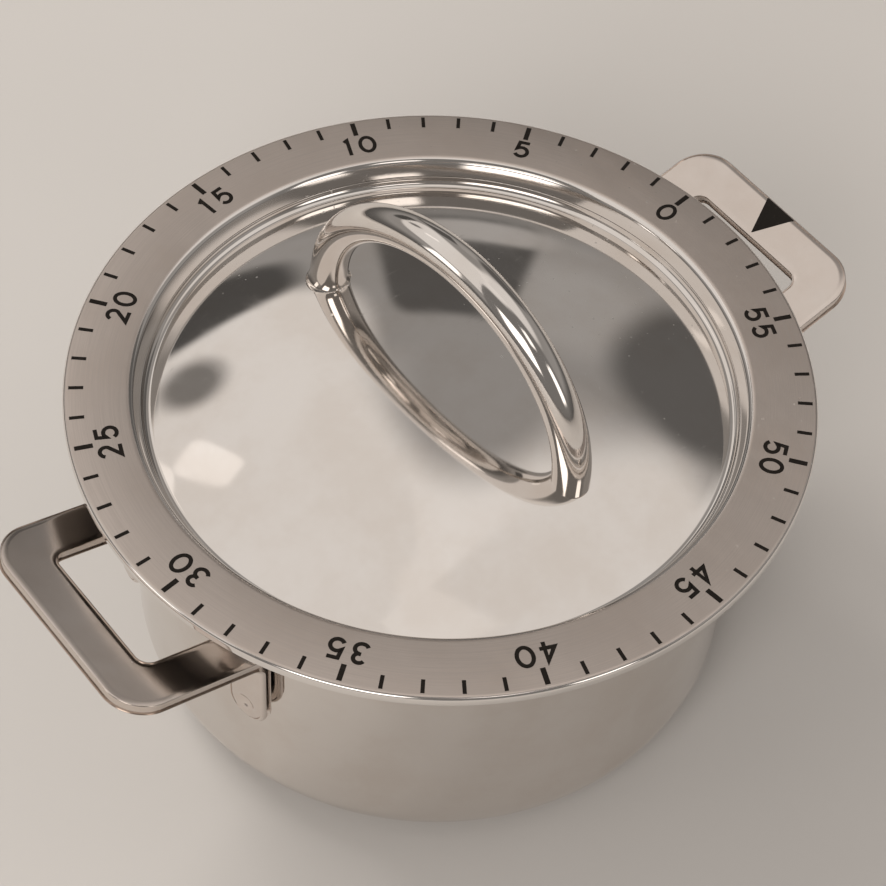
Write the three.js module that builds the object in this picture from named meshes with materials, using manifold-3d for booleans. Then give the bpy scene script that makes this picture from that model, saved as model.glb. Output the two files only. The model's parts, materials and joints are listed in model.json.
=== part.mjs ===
// A pot-shaped mechanical kitchen timer, in millimetres, +Z up.
// The origin is the middle of the rest face. +X points to the handle that carries the index mark.
// The dial (bezel, lid and knob) turns on the arbor; the pot, handles and movement plates stand still.

import * as THREE from 'three';
import { mergeVertices } from 'three/addons/utils/BufferGeometryUtils.js';
import Module from 'manifold-3d';

const wasm = await Module();
wasm.setup();

// ---------------------------------------------------------------- driving dimensions

const ROUND = 40;                 // facets round a large turned part
const SMALL_ROUND = 12;           // facets round a screw, post or pivot
const GAP = 0.1;                  // clearance between parts that are fixed to each other
const RUNNING_GAP = 0.09;         // clearance of a pivot in its plate

const dial = {
  radius: 36,                     // outer radius of the bezel
  top: 36,                        // height of the bezel's flat face
  skirt: 1.15,                    // depth of its turned-down outer edge
  sheet: 0.6,
  recessRadius: 29.5,             // inner edge of the flat face
  seatRadius: 28.8,               // foot of the recess wall
  seatTop: 32.2,                  // the lid's edge rests here
  lipRadius: 26.6,
  zeroAngle: 7.54,                // degrees from +X to the zero mark, in the rest pose
};

const lidDome = { radius: 28.6, edgeTop: 33.0, rise: 5.5, sheet: 0.8 };

const knob = {
  halfSpan: 16.65,
  rise: 16,                       // bar centre line above the foot ends
  footHeight: 37.25,
  barRadius: 1.87,
  pastZero: 88.4,                 // degrees from the zero mark to the line through its feet
  offCentre: [0.3, -0.25],        // where it is welded on, off the axis in X and Y
};

// Moulded plate that joins the lid to the arbor.
const carrier = {
  radius: 28.2,
  bottom: 29.2,
  hub: 5.5,                       // outer radius of the hub
  hubFoot: 26.6,                  // lowest point of the hub
  socket: 3.5,                    // radius of the hub's hollow
  webReach: 26,
  webHalf: 0.6,
};

const pot = {
  radius: 30.2,
  sheet: 0.8,
  floor: 1.0,                     // underside of the floor
  corner: 5.5,                    // outer radius where wall meets floor
  flareStart: 30.2,               // height where the rim starts to flare
  flareRadius: 3.0,
  flareTurn: 50,                  // degrees that the rim flares through
};

const handle = {
  outerX: 44.2,
  outerTop: 32.45,                // height of the outer top edge
  slope: 15,                      // degrees that the plate falls towards the pot
  sheet: 1.35,
  halfWidth: 12.05,
  corner: 4,
  windowX: 39.65,
  windowHalf: 7.5,
  windowCorner: 1.3,
  offset: 0.35,                   // how far towards +X both loops sit off the dial's axis
  tabFace: 29.35,                 // X of the tabs' inner face beside the window, just clear of the wall
  tabCurve: 53,                   // the tabs are bent less than the wall
  tabFoot: 17.7,                  // lowest point of the tabs
  tabSheet: 1.3,
};

const pad = { inner: 13, outer: 19.5, height: 1.0 };

const plate = { radius: 26.5, sheet: 1.0, lower: 12.0, upper: 24.0 };

const posts = { circle: 22.6, angles: [45, 140, 315], radius: 1.9, shank: 1.0, bore: 1.2 };

// A flat spiral from the arbor out to its post.
const mainspringSize = {
  turns: 4,
  inner: 3.35,
  outer: 10.5,
  ribbon: 0.35,
  bottom: 17.6,
  top: 23,
  post: 11.6,                     // circle of its post
  postAngle: 60,
};

const ratchet = { teeth: 16, tip: 5.2, root: 4.4 };
const click = { circle: 9.4, angle: 118, noseCircle: 5.75, noseAngle: 98 };

const bell = { radius: 18.5, rim: 3.2, top: 9.1, sheet: 0.8, shoulder: 4.5 };

// Going train: wheel teeth / pinion leaves, with the pitch module of each pair.
const train = {
  main: { teeth: 48, leaves: 8, module: 0.625, wheelZ: 14.0 },
  second: { teeth: 42, leaves: 7, module: 0.4, wheelZ: 16.2, circle: 17.5, angle: 200 },
  third: { teeth: 35, leaves: 7, module: 0.4, wheelZ: 18.4, circle: 18.6 },
  escape: { teeth: 18, radius: 5.4, wheelZ: 20.6, circle: 19.0 },
};
const wheelSheet = 0.8;

const palletDistance = 8.0;       // escape arbor to pallet arbor
const palletCircle = 19.0;

const arbor = { radius: 3.0, journal: 2.4, foot: 1.5, top: 31.0 };
const arborFlat = arbor.journal - 0.6;        // the flat that the dial's carrier drives by

// The hammer that strikes the bell, and the levels of what it touches.
const striker = { circle: 23, angle: 176, radius: 0.9, headCircle: 20.8, headAngle: 158, armLevel: 10.4 };
const armSheet = 0.8;
const star = { points: 6, tip: 3.4, root: 1.9, bottom: 10.4, top: 11.4 };
const coil = { turns: 2.5, radius: 1.5, wire: 0.25, bottom: 13.5, top: 15.4 };

// ---------------------------------------------------------------- materials

function finish(color, roughness, metalness = 1) {
  return new THREE.MeshStandardMaterial({ color, roughness, metalness });
}

const polishedSteel = () => finish(0xc9c6c2, 0.12);
const brushedSteel = () => finish(0xb4aca5, 0.38);
const zincSteel = () => finish(0xa9aba8, 0.35);
const brass = () => finish(0xb5914a, 0.3);
const springSteel = () => finish(0x4d5560, 0.3);
const blackPlastic = () => finish(0x1c1c1d, 0.55, 0);
const blackRubber = () => finish(0x161616, 0.85, 0);

// ---------------------------------------------------------------- solid helpers

const degrees = THREE.MathUtils.degToRad;

function polar(radius, angle) {
  return new THREE.Vector2(radius * Math.cos(degrees(angle)), radius * Math.sin(degrees(angle)));
}

// Welds a geometry's corners and turns its faces outwards.
function solidOf(geometry) {
  const bare = new THREE.BufferGeometry();
  bare.setAttribute('position', geometry.getAttribute('position').clone());
  if (geometry.index) bare.setIndex(geometry.index.clone());
  const merged = mergeVertices(bare, 1e-4);
  const corners = merged.getAttribute('position');
  const triangles = [];
  let volume = 0;
  const [a, b, c] = [new THREE.Vector3(), new THREE.Vector3(), new THREE.Vector3()];
  for (let i = 0; i < merged.index.count; i += 3) {
    const [p, q, r] = [0, 1, 2].map((k) => merged.index.getX(i + k));
    if (p === q || q === r || r === p) continue;
    triangles.push([p, q, r]);
    a.fromBufferAttribute(corners, p);
    b.fromBufferAttribute(corners, q);
    c.fromBufferAttribute(corners, r);
    volume += a.dot(b.cross(c));
  }
  const outward = volume > 0 ? triangles : triangles.map(([p, q, r]) => [p, r, q]);
  return new wasm.Manifold(new wasm.Mesh({
    numProp: 3,
    vertProperties: new Float32Array(corners.array),
    triVerts: new Uint32Array(outward.flat()),
  }));
}

function geometryOf(solid) {
  const mesh = solid.getMesh();
  const geometry = new THREE.BufferGeometry();
  geometry.setAttribute('position', new THREE.BufferAttribute(new Float32Array(mesh.vertProperties), 3));
  geometry.setIndex(new THREE.BufferAttribute(new Uint32Array(mesh.triVerts), 1));
  geometry.computeVertexNormals();
  return geometry;
}

// Turns a closed [radius, height] outline about +Z.
function turned(outline, facets = ROUND) {
  const points = outline.map(([radius, height]) => new THREE.Vector2(radius, height));
  const onAxis = outline[0][0] === 0 && outline[outline.length - 1][0] === 0;
  if (!onAxis) points.push(points[0].clone());
  return solidOf(new THREE.LatheGeometry(points, facets).rotateX(Math.PI / 2));
}

function disc(radius, bottom, top, facets = SMALL_ROUND) {
  return turned([[0, bottom], [radius, bottom], [radius, top], [0, top]], facets);
}

function ring(inner, outer, bottom, top, facets = ROUND) {
  return turned([[inner, bottom], [outer, bottom], [outer, top], [inner, top]], facets);
}

// A flat outline drawn in X and Y, from one height to another.
function slab(shape, bottom, top) {
  const geometry = new THREE.ExtrudeGeometry(shape, {
    depth: top - bottom, bevelEnabled: false, curveSegments: 4,
  });
  return solidOf(geometry.translate(0, 0, bottom));
}

function cuboid(low, high) {
  const size = high.map((value, k) => value - low[k]);
  const middle = high.map((value, k) => (value + low[k]) / 2);
  return solidOf(new THREE.BoxGeometry(...size).translate(...middle));
}

function arc(centreR, centreZ, radius, from, to, steps) {
  return Array.from({ length: steps + 1 }, (_, k) => {
    const angle = degrees(from + ((to - from) * k) / steps);
    return [centreR + radius * Math.cos(angle), centreZ + radius * Math.sin(angle)];
  });
}

function cut(solid, ...tools) {
  return tools.reduce((rest, tool) => rest.subtract(tool), solid);
}

function join(first, ...others) {
  return others.reduce((sum, other) => sum.add(other), first);
}

// A straight bar with round ends between two points, as a flat outline.
function barShape(start, end, halfWidth) {
  const along = Math.atan2(end.y - start.y, end.x - start.x);
  const shape = new THREE.Shape();
  shape.absarc(end.x, end.y, halfWidth, along - Math.PI / 2, along + Math.PI / 2, false);
  shape.absarc(start.x, start.y, halfWidth, along + Math.PI / 2, along + 1.5 * Math.PI, false);
  return shape;
}

function bar(start, end, halfWidth, bottom, top) {
  return slab(barShape(start, end, halfWidth), bottom, top);
}

const timer = new THREE.Group();

function place(name, solid, material, centre = new THREE.Vector2(), turn = 0) {
  const mesh = new THREE.Mesh(geometryOf(solid), material);
  mesh.name = name;
  mesh.position.set(centre.x, centre.y, 0);
  mesh.rotation.z = turn;
  timer.add(mesh);
}

// ---------------------------------------------------------------- toothed parts

// A tooth is a list of points: [radius, share of the tooth pitch from its middle line].
function toothedShape(teeth, tooth) {
  const shape = new THREE.Shape();
  const pitch = 360 / teeth;
  for (let k = 0; k < teeth; k += 1) {
    tooth.forEach(([radius, share], corner) => {
      const point = polar(radius, (k + share) * pitch);
      if (k === 0 && corner === 0) shape.moveTo(point.x, point.y);
      else shape.lineTo(point.x, point.y);
    });
  }
  shape.closePath();
  return shape;
}

function withHole(shape, radius, facets = SMALL_ROUND) {
  const hole = new THREE.Path();
  for (let k = 0; k < facets; k += 1) {
    const point = polar(radius, (-360 * k) / facets);
    if (k === 0) hole.moveTo(point.x, point.y);
    else hole.lineTo(point.x, point.y);
  }
  hole.closePath();
  shape.holes.push(hole);
  return shape;
}

function wheelShape(teeth, module) {
  const pitchRadius = (teeth * module) / 2;
  return toothedShape(teeth, [
    [pitchRadius - 1.25 * module, -0.24],
    [pitchRadius + 0.15 * module, -0.19],
    [pitchRadius + 0.95 * module, 0],
    [pitchRadius + 0.15 * module, 0.19],
    [pitchRadius - 1.25 * module, 0.24],
  ]);
}

function pinionShape(leaves, module) {
  const pitchRadius = (leaves * module) / 2;
  return toothedShape(leaves, [
    [pitchRadius - 1.3 * module, -0.2],
    [pitchRadius, -0.17],
    [pitchRadius + 0.6 * module, -0.07],
    [pitchRadius + 0.6 * module, 0.07],
    [pitchRadius, 0.17],
    [pitchRadius - 1.3 * module, 0.2],
  ]);
}

// Where the second of two meshing arbors stands on its own circle, further round from the first.
function nextAngle(firstAngle, firstCircle, distance, circle) {
  const cosine = (firstCircle ** 2 + circle ** 2 - distance ** 2) / (2 * firstCircle * circle);
  return firstAngle + THREE.MathUtils.radToDeg(Math.acos(cosine));
}

// The turn that sets a pinion's gap opposite the wheel tooth nearest to it.
function meshTurn(from, to, teeth, leaves, fromTurn) {
  const line = Math.atan2(to.y - from.y, to.x - from.x);
  const toothOff = (line - fromTurn) / ((2 * Math.PI) / teeth);
  const phase = toothOff - Math.floor(toothOff);
  const pitch = (2 * Math.PI) / leaves;
  return line + Math.PI + (phase + 0.5) * pitch;
}

const pairDistance = ({ teeth, leaves, module }) => ((teeth + leaves) * module) / 2;

const second = train.second;
const third = train.third;
const escape = train.escape;
third.angle = nextAngle(second.angle, second.circle, pairDistance(second), third.circle);
escape.angle = nextAngle(third.angle, third.circle, pairDistance(third), escape.circle);
const palletAngle = nextAngle(escape.angle, escape.circle, palletDistance, palletCircle);

const centre = new THREE.Vector2();
const secondAt = polar(second.circle, second.angle);
const thirdAt = polar(third.circle, third.angle);
const escapeAt = polar(escape.circle, escape.angle);
const palletAt = polar(palletCircle, palletAngle);
const strikerAt = polar(striker.circle, striker.angle);
const headAt = polar(striker.headCircle, striker.headAngle);
const springPostAt = polar(mainspringSize.post, mainspringSize.postAngle);
const postsAt = posts.angles.map((angle) => polar(posts.circle, angle));

const at = (solid, point) => solid.translate([point.x, point.y, 0]);

// ---------------------------------------------------------------- pot, handles and base

function potShell() {
  const { radius, sheet, floor, corner, flareStart, flareRadius, flareTurn } = pot;
  const flareR = radius + flareRadius;
  const outline = [
    [0, floor],
    ...arc(radius - corner, floor + corner, corner, -90, 0, 4),
    ...arc(flareR, flareStart, flareRadius, 180, 180 - flareTurn, 2),
    ...arc(flareR, flareStart, flareRadius + sheet, 180 - flareTurn, 180, 2),
    ...arc(radius - corner, floor + corner, corner - sheet, 0, -90, 3),
    [0, floor + sheet],
  ];
  const holes = postsAt.map((point) => at(disc(posts.bore, 0, floor + 2 * sheet), point));
  return cut(turned(outline), ...holes);
}

// A U-shaped outline, open towards -X, with its round-cornered end at endX.
function loopShape(startX, endX, halfWidth, corner) {
  const shape = new THREE.Shape();
  shape.moveTo(startX, -halfWidth);
  shape.lineTo(endX - corner, -halfWidth);
  shape.absarc(endX - corner, -halfWidth + corner, corner, -Math.PI / 2, 0, false);
  shape.absarc(endX - corner, halfWidth - corner, corner, 0, Math.PI / 2, false);
  shape.lineTo(startX, halfWidth);
  return shape;
}

// The plate is drawn flat, with its outer top edge at X = 0, then tilted to its slope.
function handlePlate(outerX) {
  const { outerTop, halfWidth, corner, windowX, windowHalf, windowCorner, slope, sheet } = handle;
  const windowEdge = (windowX - handle.outerX) / Math.cos(degrees(slope));
  const inner = 20 - outerX;
  const outside = slab(loopShape(inner, 0, halfWidth, corner), -sheet, 0);
  const opening = slab(loopShape(inner, windowEdge, windowHalf, windowCorner), -2 * sheet, sheet);
  return outside.subtract(opening).rotate([0, -slope, 0]).translate([outerX, 0, outerTop]);
}

// Two tabs with round feet, which touch the pot's wall along their inner edges.
function weldTabs(outerX, axis) {
  const { outerTop, slope, halfWidth, windowHalf, tabFace, tabCurve, tabFoot, tabSheet } = handle;
  const half = (halfWidth - windowHalf) / 2;
  const middle = (halfWidth + windowHalf) / 2;
  const top = outerTop - (outerX - tabFace) * Math.tan(degrees(slope)) - 0.35;
  const shell = ring(tabCurve, tabCurve + tabSheet, tabFoot, outerTop, 4 * ROUND).translate([axis, 0, 0]);
  const outline = new THREE.Shape();
  outline.moveTo(top, -half);
  outline.lineTo(top, half);
  outline.absarc(tabFoot + half, 0, half, Math.PI / 2, 1.5 * Math.PI, false);
  const punch = slab(outline, 20, 40).rotate([0, -90, 0]).rotate([0, 0, 180]);
  return [-1, 1].map((side) => shell.intersect(punch.translate([0, side * middle, 0])));
}

function handleLoop(offset) {
  const { tabFace, tabCurve, windowHalf } = handle;
  const outerX = handle.outerX + offset;
  const axis = tabFace - Math.sqrt(tabCurve ** 2 - windowHalf ** 2);
  const inside = disc(tabCurve, 0, 2 * dial.top, 4 * ROUND).translate([axis, 0, 0]);
  return join(handlePlate(outerX).subtract(inside), ...weldTabs(outerX, axis));
}

function basePad() {
  return ring(pad.inner, pad.outer, 0, pad.height - 0.02);
}

// ---------------------------------------------------------------- dial

function bezelRing() {
  const { radius, top, skirt, sheet, recessRadius, seatRadius, seatTop, lipRadius } = dial;
  const edge = 0.5;
  const outline = [
    [radius, top - skirt],
    ...arc(radius - edge, top - edge, edge, 0, 90, 2),
    ...arc(recessRadius + edge, top - edge, edge, 90, 160, 2),
    [seatRadius, lidDome.edgeTop],
    [seatRadius, seatTop],
    [lipRadius, seatTop],
    [lipRadius, seatTop - sheet],
    [seatRadius + sheet, seatTop - sheet],
    [seatRadius + sheet, lidDome.edgeTop],
    [recessRadius + sheet, top - sheet],
    [radius - sheet, top - sheet],
    [radius - sheet, top - skirt],
  ];
  return turned(outline);
}

function domeHeight(distance) {
  const { radius, rise, edgeTop } = lidDome;
  const sphere = (radius ** 2 + rise ** 2) / (2 * rise);
  return edgeTop + rise - sphere + Math.sqrt(sphere ** 2 - distance ** 2);
}

const bossCircle = 23.0;
const bossAngles = [0, 120, 240];
const bossesAt = bossAngles.map((angle) => polar(bossCircle, angle + dial.zeroAngle));

function lid() {
  const { radius, sheet, edgeTop } = lidDome;
  const stations = [0, 8, 16, 23];
  const outline = [
    ...stations.map((r) => [r, domeHeight(r)]),
    [radius, edgeTop],
    [radius, dial.seatTop + 0.02],
    [dial.lipRadius + 0.5, dial.seatTop + 0.02],
    ...stations.slice().reverse().map((r) => [r, domeHeight(r) - sheet]),
  ];
  const boss = disc(1.9, dial.seatTop - 0.5, domeHeight(bossCircle + 1.9) - 0.2);
  const bore = disc(posts.bore, dial.seatTop - 1, dial.seatTop + 1.1);
  const shell = join(turned(outline), ...bossesAt.map((point) => at(boss, point)));
  return cut(shell, ...bossesAt.map((point) => at(bore, point)));
}

class ArchCurve extends THREE.Curve {
  getPoint(t, target = new THREE.Vector3()) {
    const angle = Math.PI * t;
    return target.set(-knob.halfSpan * Math.cos(angle), 0, knob.rise * Math.sin(angle));
  }
}

function knobArch() {
  const section = new THREE.Shape();
  section.absarc(0, 0, knob.barRadius, 0, 2 * Math.PI, false);
  const tube = new THREE.ExtrudeGeometry(section, {
    steps: 24, curveSegments: 6, bevelEnabled: false, extrudePath: new ArchCurve(),
  });
  const angle = dial.zeroAngle + knob.pastZero;
  return solidOf(tube).rotate([0, 0, angle]).translate([...knob.offCentre, knob.footHeight]);
}

// The hub's bore has a flat that drives the arbor.
function dialCarrier() {
  const { radius, bottom, hub, hubFoot, socket, webReach, webHalf } = carrier;
  const top = dial.seatTop - dial.sheet - 0.02;
  const webRoot = bottom + 0.5;
  const inner = socket - 0.1;
  const plateAndHub = join(ring(inner, hub, hubFoot, webRoot), ring(inner, radius, bottom, top));
  const web = cuboid([-webReach, -webHalf, bottom - 1.2], [webReach, webHalf, webRoot]);
  const webs = [30, 90, 150].map((angle) => web.rotate([0, 0, angle]));
  const blank = cut(join(plateAndHub, ...webs), disc(socket, 0, 2 * top, 24));
  const lining = ring(arbor.journal + GAP, socket + 0.1, hubFoot, top, 24);
  const flat = cuboid([arborFlat + GAP, -socket, hubFoot], [socket + 1, socket, top]);
  const key = flat.intersect(disc(socket + 0.1, hubFoot, top, 24));
  const bore = disc(arbor.journal + GAP, 0, 2 * top, 24).subtract(flat);
  const holes = bossesAt.map((point) => at(disc(posts.bore, bottom - 1, top + 1), point));
  return cut(join(blank, lining, key), bore, ...holes);
}

// A slotted cheese-head screw. An upward one has its head at the bottom.
function screw(headRadius, headBottom, headTop, shankRadius, shankEnd, upward) {
  const head = disc(headRadius, headBottom, headTop);
  const [low, high] = upward ? [headTop - 0.2, shankEnd] : [shankEnd, headBottom + 0.2];
  const slotDepth = 0.35;
  const face = upward ? headBottom : headTop;
  const slot = cuboid([-headRadius, -0.2, face - slotDepth], [headRadius, 0.2, face + slotDepth]);
  return join(head, disc(shankRadius, low, high)).subtract(slot);
}

// ---------------------------------------------------------------- movement frame

function movementPlate(bottom, holes) {
  const body = disc(plate.radius, bottom, bottom + plate.sheet, ROUND);
  const bore = ([point, radius]) => at(disc(radius, bottom - 1, bottom + 2 * plate.sheet), point);
  return cut(body, ...holes.map(bore));
}

const pivot = 0.5;                // radius of the train's pivots
const pivotHole = pivot + RUNNING_GAP + 0.02;
const starPivot = 0.9;
const starPivotHole = starPivot + RUNNING_GAP + 0.02;
const sharedHoles = [
  ...postsAt.map((point) => [point, posts.bore]),
  [thirdAt, pivotHole],
  [escapeAt, pivotHole],
  [palletAt, pivotHole],
  [strikerAt, striker.radius + RUNNING_GAP + 0.02],
];

function lowerPlate() {
  const arborHole = arbor.foot + RUNNING_GAP + 0.02;
  return movementPlate(plate.lower, [...sharedHoles, [centre, arborHole], [secondAt, starPivotHole]]);
}

function upperPlate() {
  const arborHole = arbor.journal + RUNNING_GAP + 0.04;
  return movementPlate(plate.upper, [
    ...sharedHoles, [centre, arborHole], [secondAt, pivotHole], [springPostAt, 0.72],
  ]);
}

const lowerTop = plate.lower + plate.sheet;
const upperTop = plate.upper + plate.sheet;

function standoff() {
  const bottom = pot.floor + pot.sheet + 0.05;
  const spigot = disc(posts.shank, plate.lower - 1, lowerTop + 2.5);
  const body = join(disc(posts.radius, bottom, plate.lower - 0.05), spigot);
  return body.subtract(disc(posts.bore, bottom - 1, bottom + 4.5));
}

function pillar() {
  const body = disc(posts.radius, lowerTop + 0.05, plate.upper - 0.05);
  const bores = [disc(posts.bore, lowerTop, lowerTop + 3.2), disc(posts.bore, plate.upper - 4, plate.upper)];
  return cut(body, ...bores);
}

// ---------------------------------------------------------------- power and click work

function mainArbor() {
  const { radius, journal, foot, top } = arbor;
  const shaft = turned([
    [0, plate.lower - 0.6], [foot, plate.lower - 0.6], [foot, lowerTop + 0.1], [radius, lowerTop + 0.1],
    [radius, plate.upper - 0.15], [journal, plate.upper - 0.15], [journal, top], [0, top],
  ], 24);
  return shaft.subtract(cuboid([arborFlat, -radius, upperTop + 1.4], [radius + 1, radius, top + 1]));
}

function mainWheel() {
  const blank = withHole(wheelShape(train.main.teeth, train.main.module), arbor.radius + GAP, 24);
  const windows = [0, 90, 180, 270].map((angle) => at(disc(2.6, 13, 17), polar(10.2, angle + 45)));
  return cut(slab(blank, train.main.wheelZ, train.main.wheelZ + 1), ...windows);
}

const clickAt = polar(click.circle, click.angle);
const clickLevel = train.main.wheelZ + 1.08;

function ratchetWheel() {
  const { teeth, tip, root } = ratchet;
  const shape = toothedShape(teeth, [[root, 0.02], [tip, 0.05], [root, 0.98]]);
  return slab(withHole(shape, arbor.radius + GAP, 24), clickLevel, clickLevel + 0.8);
}

function clickPawl() {
  const nose = polar(click.noseCircle, click.noseAngle);
  const top = clickLevel + 0.75;
  return join(bar(clickAt, nose, 0.42, clickLevel, top), at(disc(1.0, clickLevel, top), clickAt));
}

function clickSpring() {
  const [middle, half] = [7.75, 0.15];
  const [start, end] = [degrees(30), degrees(click.noseAngle)];
  const top = clickLevel + 0.6;
  const shape = new THREE.Shape();
  shape.absarc(0, 0, middle + half, start, end, false);
  shape.absarc(0, 0, middle - half, end, start, true);
  shape.closePath();
  return join(slab(shape, clickLevel, top), at(disc(0.7, clickLevel, top), polar(middle, 29)));
}

function mainspring() {
  const { turns, inner, outer, ribbon, bottom, top, postAngle } = mainspringSize;
  const steps = 20 * turns;
  const line = (k, offset) => {
    const share = k / steps;
    return polar(inner + (outer - inner) * share + offset, postAngle + 360 * turns * (share - 1));
  };
  const shape = new THREE.Shape();
  shape.setFromPoints([
    ...Array.from({ length: steps + 1 }, (_, k) => line(k, 0)),
    ...Array.from({ length: steps + 1 }, (_, k) => line(steps - k, ribbon)),
  ]);
  return slab(shape, bottom, top);
}

function springPost() {
  const body = disc(0.65, mainspringSize.bottom, plate.upper + 0.2);
  return join(body, disc(0.6, plate.upper - 1, upperTop - 0.1));
}

// ---------------------------------------------------------------- going train

function wheelDisc(stage, boreRadius) {
  const shape = withHole(wheelShape(stage.teeth, stage.module), boreRadius);
  const pitchRadius = (stage.teeth * stage.module) / 2;
  const hole = disc(pitchRadius * 0.2, 10, 30, 12);
  const holes = [0, 1, 2, 3, 4].map((k) => at(hole, polar(pitchRadius * 0.58, 72 * k)));
  return cut(slab(shape, stage.wheelZ, stage.wheelZ + wheelSheet), ...holes);
}

// A cut pinion on its own arbor, from the lower pivot to the upper one.
function pinionArbor(leaves, module, leafBottom, leafTop, seat, lowerPivot, lowerEnd) {
  const leavesPart = slab(pinionShape(leaves, module), leafBottom, leafTop);
  const shaft = disc(seat, lowerTop + 0.25, plate.upper - 0.25);
  const pivots = [disc(lowerPivot, lowerEnd, lowerTop + 0.5), disc(pivot, plate.upper - 0.5, upperTop)];
  return join(leavesPart, shaft, ...pivots);
}

const arborRadius = 0.75;
const secondTurn = meshTurn(centre, secondAt, train.main.teeth, train.main.leaves, 0);
const thirdTurn = meshTurn(secondAt, thirdAt, second.teeth, second.leaves, secondTurn);
const escapeTurn = meshTurn(thirdAt, escapeAt, third.teeth, third.leaves, thirdTurn);

function starWheel() {
  const { points, tip, root, bottom, top } = star;
  const shape = toothedShape(points, [[root, -0.3], [tip, -0.05], [tip, 0.05], [root, 0.3]]);
  return slab(withHole(shape, starPivot + GAP), bottom, top);
}

function escapeWheel() {
  const { teeth, radius, wheelZ } = escape;
  const root = radius - 1.3;
  const shape = toothedShape(teeth, [[root, -0.1], [radius, 0.2], [radius, 0.27], [root, 0.3]]);
  return slab(withHole(shape, arborRadius + GAP), wheelZ, wheelZ + 0.7);
}

// The anchor straddles the escape wheel; its noses stay just outside the tooth tips.
function palletLever() {
  const level = escape.wheelZ;
  const toEscape = THREE.MathUtils.radToDeg(Math.atan2(escapeAt.y - palletAt.y, escapeAt.x - palletAt.x));
  const arms = [-1, 1].map((side) => {
    const elbow = new THREE.Vector2(1.2, side * 4.2);
    const nose = new THREE.Vector2(4.6, side * 5.4);
    return join(bar(centre, elbow, 0.6, level, level + 0.7), bar(elbow, nose, 0.5, level, level + 0.7));
  });
  const tail = bar(centre, new THREE.Vector2(-3.4, 0), 0.9, level, level + 0.7);
  const weight = cuboid([-4.6, -2.6, level], [-3.2, 2.6, level + 0.7]);
  const bore = disc(arborRadius + GAP, 10, 30);
  return cut(join(...arms, tail, weight), bore).rotate([0, 0, toEscape]);
}

function palletArbor() {
  return join(disc(arborRadius, lowerTop + 0.25, plate.upper - 0.25), disc(pivot, plate.lower, upperTop));
}

// ---------------------------------------------------------------- alarm work

function bellDome() {
  const { radius, rim, top, sheet, shoulder } = bell;
  const hole = 1.35;
  const outline = [
    [radius, rim],
    ...arc(radius - shoulder, top - shoulder, shoulder, 0, 90, 3),
    [hole, top],
    [hole, top - sheet],
    ...arc(radius - shoulder, top - shoulder, shoulder - sheet, 90, 0, 3),
    [radius - sheet, rim],
  ];
  return turned(outline, 36);
}

function bellPost() {
  const base = pot.floor + pot.sheet + 0.05;
  const seat = bell.top - bell.sheet - 0.05;
  const [foot, stem, thread, end] = [3.2, 1.9, 1.1, 11.1];
  return turned([
    [0, base], [foot, base], [foot, base + 0.8], [stem, base + 0.8],
    [stem, seat], [thread, seat], [thread, end], [0, end],
  ], SMALL_ROUND);
}

function bellNut() {
  return disc(2.6, bell.top + 0.05, bell.top + 1.6, 6).subtract(disc(1.25, 0, 20));
}

function strikerArbor() {
  return disc(striker.radius, 9.9, 26.3);
}

const { armLevel } = striker;
const armTop = armLevel + armSheet;

// One stamped lever: the hammer arm reaches past the bell's rim, the tail towards the star wheel.
function strikerLever() {
  const tail = strikerAt.clone().lerp(secondAt, 0.56);
  const hub = at(disc(1.9, armLevel, armTop), strikerAt);
  const hammerArm = bar(strikerAt, headAt, 0.9, armLevel, armTop);
  const plan = join(hammerArm, bar(strikerAt, tail, 0.6, armLevel, armTop), hub);
  return cut(plan, at(disc(striker.radius + GAP, 5, 20), strikerAt), at(disc(0.8, 5, 20), headAt));
}

function strikerHead() {
  return join(disc(1.4, 4.6, armLevel - 0.1), disc(0.7, armLevel - 1, armLevel + 1.1));
}

const camLevel = upperTop + 0.4;
const alarmCamRadius = 8.5;

function alarmCam() {
  const notchAngle = -15;
  const body = ring(arbor.journal + GAP, alarmCamRadius, camLevel, camLevel + 0.8, 36);
  const [foot, mouth] = [alarmCamRadius - 0.3, alarmCamRadius + 3].map((reach) => polar(reach, notchAngle));
  const notch = bar(foot, mouth, 1.2, 20, 30);
  return body.subtract(notch);
}

function camFollower() {
  const nose = polar(alarmCamRadius + 2.1, 150);
  const arm = join(bar(strikerAt, nose, 0.7, camLevel, camLevel + 0.7),
    at(disc(1.7, camLevel, camLevel + 0.7), strikerAt));
  return arm.subtract(at(disc(striker.radius + GAP, 20, 30), strikerAt));
}

class CoilCurve extends THREE.Curve {
  getPoint(t, target = new THREE.Vector3()) {
    const angle = 2 * Math.PI * coil.turns * t;
    const height = THREE.MathUtils.lerp(coil.bottom, coil.top, t);
    return target.set(coil.radius * Math.cos(angle), coil.radius * Math.sin(angle), height);
  }
}

function strikerSpring() {
  const wire = new THREE.Shape();
  wire.absarc(0, 0, coil.wire, 0, 2 * Math.PI, false);
  return solidOf(new THREE.ExtrudeGeometry(wire, {
    steps: 36, curveSegments: 3, bevelEnabled: false, extrudePath: new CoilCurve(),
  }));
}

// ---------------------------------------------------------------- assembly

place('pot_shell', potShell(), polishedSteel());
place('index_handle', handleLoop(handle.offset), polishedSteel());
place('plain_handle', handleLoop(-handle.offset), polishedSteel(), centre, Math.PI);
place('base_pad', basePad(), blackRubber());

place('bezel_ring', bezelRing(), brushedSteel());
place('lid', lid(), polishedSteel());
place('knob', knobArch(), polishedSteel());
place('dial_carrier', dialCarrier(), blackPlastic());
bossesAt.forEach((point, k) => {
  const carrierScrew = screw(1.9, 28.2, 29.1, posts.shank, dial.seatTop + 0.9, true);
  place(`carrier_screw_${k + 1}`, carrierScrew, zincSteel(), point);
});

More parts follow.
